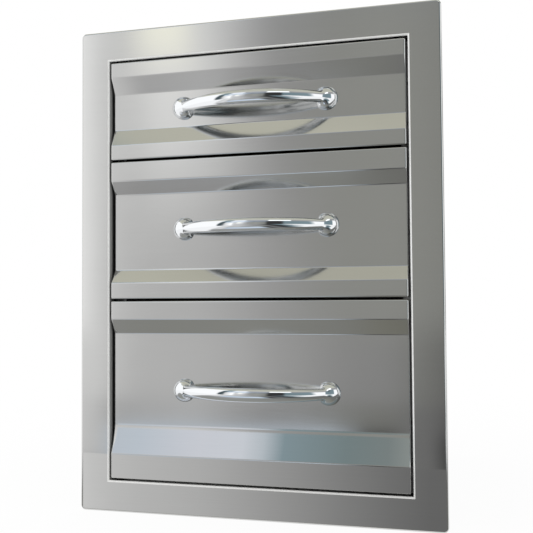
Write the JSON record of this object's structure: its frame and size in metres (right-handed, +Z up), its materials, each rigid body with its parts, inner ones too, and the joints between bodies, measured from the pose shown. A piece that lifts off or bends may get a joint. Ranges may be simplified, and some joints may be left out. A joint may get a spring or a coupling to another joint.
{
  "type": "built-in outdoor kitchen drawer unit",
  "caption": "Stainless built-in drawer unit with a picture-frame flange, stacked sculpted fronts, chrome bow handles and ball-bearing slides.",
  "frame": {"origin": "middle of the flange's lower back lip, on the plane that bears on the island's face", "axes": "+Z up, -Y out of the front, which is the way the drawers open, and +X to the right seen from the front"},
  "size_m": [0.457, 0.522, 0.61],
  "materials": {
    "frame_stainless": "brushed",
    "front_stainless": "brushed",
    "housing_stainless": "mill finish sheet",
    "tray_stainless": "brushed",
    "handle_chrome": "polished",
    "slide_zinc": "zinc plated",
    "ball_steel": "ground",
    "cage_steel": "plain",
    "fastener_steel": "turned",
    "bumper_rubber": "moulded"
  },
  "bodies": {
    "housing": {"face_frame": "frame_stainless", "side_panel_left": "housing_stainless", "side_panel_right": "housing_stainless", "top_panel": "housing_stainless", "bottom_panel": "housing_stainless", "rear_panel": "housing_stainless", "housing_rivets": "fastener_steel", "slide_screws": "fastener_steel", "upper_slide_outer_left": "slide_zinc", "upper_slide_outer_right": "slide_zinc", "middle_slide_outer_left": "slide_zinc", "middle_slide_outer_right": "slide_zinc", "lower_slide_outer_left": "slide_zinc", "lower_slide_outer_right": "slide_zinc"},
    "upper_drawer": {"upper_front_panel": "front_stainless", "upper_front_liner": "housing_stainless", "upper_tray": "tray_stainless", "upper_handle": "handle_chrome", "upper_handle_screws": "fastener_steel", "upper_bumpers": "bumper_rubber", "upper_tray_screws": "fastener_steel", "upper_slide_inner_left": "slide_zinc", "upper_slide_inner_right": "slide_zinc"},
    "upper_slide_middles": {"upper_slide_middle_left": "slide_zinc", "upper_slide_middle_right": "slide_zinc"},
    "upper_outer_retainers": {"upper_outer_cages": "cage_steel", "upper_outer_balls": "ball_steel"},
    "upper_inner_retainers": {"upper_inner_cages": "cage_steel", "upper_inner_balls": "ball_steel"},
    "middle_drawer": {"middle_front_panel": "front_stainless", "middle_front_liner": "housing_stainless", "middle_tray": "tray_stainless", "middle_handle": "handle_chrome", "middle_handle_screws": "fastener_steel", "middle_bumpers": "bumper_rubber", "middle_tray_screws": "fastener_steel", "middle_slide_inner_left": "slide_zinc", "middle_slide_inner_right": "slide_zinc"},
    "middle_slide_middles": {"middle_slide_middle_left": "slide_zinc", "middle_slide_middle_right": "slide_zinc"},
    "middle_outer_retainers": {"middle_outer_cages": "cage_steel", "middle_outer_balls": "ball_steel"},
    "middle_inner_retainers": {"middle_inner_cages": "cage_steel", "middle_inner_balls": "ball_steel"},
    "lower_drawer": {"lower_front_panel": "front_stainless", "lower_front_liner": "housing_stainless", "lower_tray": "tray_stainless", "lower_handle": "handle_chrome", "lower_handle_screws": "fastener_steel", "lower_bumpers": "bumper_rubber", "lower_tray_screws": "fastener_steel", "lower_slide_inner_left": "slide_zinc", "lower_slide_inner_right": "slide_zinc"},
    "lower_slide_middles": {"lower_slide_middle_left": "slide_zinc", "lower_slide_middle_right": "slide_zinc"},
    "lower_outer_retainers": {"lower_outer_cages": "cage_steel", "lower_outer_balls": "ball_steel"},
    "lower_inner_retainers": {"lower_inner_cages": "cage_steel", "lower_inner_balls": "ball_steel"}
  },
  "joints": [
    {"name": "upper_drawer_slide", "type": "slide", "parent": "housing", "child": "upper_drawer", "axis": [0, -1, 0], "range_m": [0, 0.4]},
    {"name": "upper_middle_slide", "type": "slide", "parent": "housing", "child": "upper_slide_middles", "axis": [0, -1, 0], "range_m": [0, 0.2]},
    {"name": "upper_outer_retainer_slide", "type": "slide", "parent": "housing", "child": "upper_outer_retainers", "axis": [0, -1, 0], "range_m": [0, 0.1]},
    {"name": "upper_inner_retainer_slide", "type": "slide", "parent": "housing", "child": "upper_inner_retainers", "axis": [0, -1, 0], "range_m": [0, 0.3]},
    {"name": "middle_drawer_slide", "type": "slide", "parent": "housing", "child": "middle_drawer", "axis": [0, -1, 0], "range_m": [0, 0.4]},
    {"name": "middle_middle_slide", "type": "slide", "parent": "housing", "child": "middle_slide_middles", "axis": [0, -1, 0], "range_m": [0, 0.2]},
    {"name": "middle_outer_retainer_slide", "type": "slide", "parent": "housing", "child": "middle_outer_retainers", "axis": [0, -1, 0], "range_m": [0, 0.1]},
    {"name": "middle_inner_retainer_slide", "type": "slide", "parent": "housing", "child": "middle_inner_retainers", "axis": [0, -1, 0], "range_m": [0, 0.3]},
    {"name": "lower_drawer_slide", "type": "slide", "parent": "housing", "child": "lower_drawer", "axis": [0, -1, 0], "range_m": [0, 0.4]},
    {"name": "lower_middle_slide", "type": "slide", "parent": "housing", "child": "lower_slide_middles", "axis": [0, -1, 0], "range_m": [0, 0.2]},
    {"name": "lower_outer_retainer_slide", "type": "slide", "parent": "housing", "child": "lower_outer_retainers", "axis": [0, -1, 0], "range_m": [0, 0.1]},
    {"name": "lower_inner_retainer_slide", "type": "slide", "parent": "housing", "child": "lower_inner_retainers", "axis": [0, -1, 0], "range_m": [0, 0.3]}
  ],
  "couplings": [
    {"joint": "upper_middle_slide", "follows": "upper_drawer_slide", "ratio": 0.5},
    {"joint": "upper_outer_retainer_slide", "follows": "upper_drawer_slide", "ratio": 0.25},
    {"joint": "upper_inner_retainer_slide", "follows": "upper_drawer_slide", "ratio": 0.75},
    {"joint": "middle_middle_slide", "follows": "middle_drawer_slide", "ratio": 0.5},
    {"joint": "middle_outer_retainer_slide", "follows": "middle_drawer_slide", "ratio": 0.25},
    {"joint": "middle_inner_retainer_slide", "follows": "middle_drawer_slide", "ratio": 0.75},
    {"joint": "lower_middle_slide", "follows": "lower_drawer_slide", "ratio": 0.5},
    {"joint": "lower_outer_retainer_slide", "follows": "lower_drawer_slide", "ratio": 0.25},
    {"joint": "lower_inner_retainer_slide", "follows": "lower_drawer_slide", "ratio": 0.75}
  ]
}
